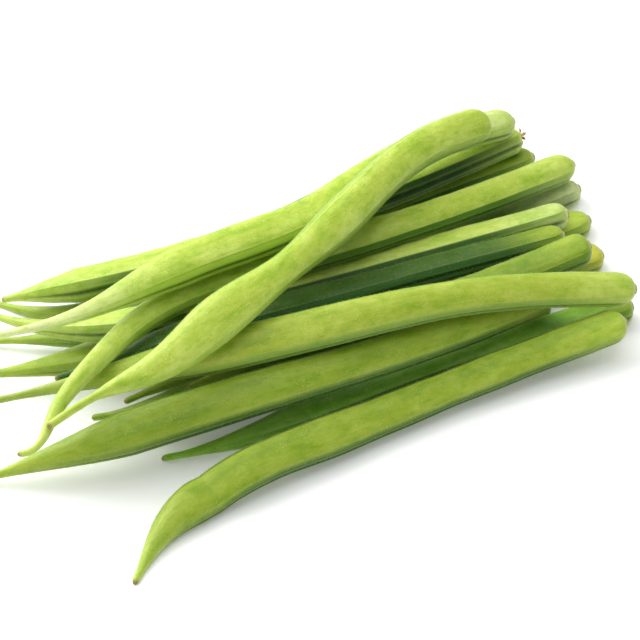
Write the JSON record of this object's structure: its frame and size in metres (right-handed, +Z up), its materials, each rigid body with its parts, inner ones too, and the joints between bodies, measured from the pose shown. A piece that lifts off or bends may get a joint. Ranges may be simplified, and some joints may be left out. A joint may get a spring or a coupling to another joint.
{
  "type": "cluster bean bunch",
  "caption": "Loose bunch of fresh long green cluster bean pods lying in a heap, stem ends together at one end and thin pointed beaks at the other.",
  "frame": {"origin": "under the middle of the heap, on the table it lies on", "axes": "+X along the pods toward their stem ends, +Y across the heap toward its back, +Z up"},
  "size_m": [0.16, 0.0934, 0.0327],
  "materials": {
    "light_skin": "fresh pod skin, satin with fine short down, light yellow-green",
    "mid_skin": "fresh pod skin, satin with fine short down, mid green",
    "deep_skin": "fresh pod skin, satin with fine short down, deeper green"
  },
  "bodies": {
    "root": {"pod_floor_1": "deep_skin", "pod_floor_2": "deep_skin", "pod_floor_3": "mid_skin", "pod_floor_4": "deep_skin", "pod_floor_5": "mid_skin", "pod_floor_6": "mid_skin", "pod_floor_7": "deep_skin", "pod_floor_8": "light_skin", "pod_middle_1": "light_skin", "pod_middle_2": "light_skin", "pod_middle_3": "mid_skin", "pod_middle_4": "mid_skin", "pod_middle_5": "mid_skin", "pod_top_front": "light_skin", "pod_top_long": "light_skin", "pod_top_back": "light_skin", "pod_top_across": "light_skin"}
  },
  "joints": []
}
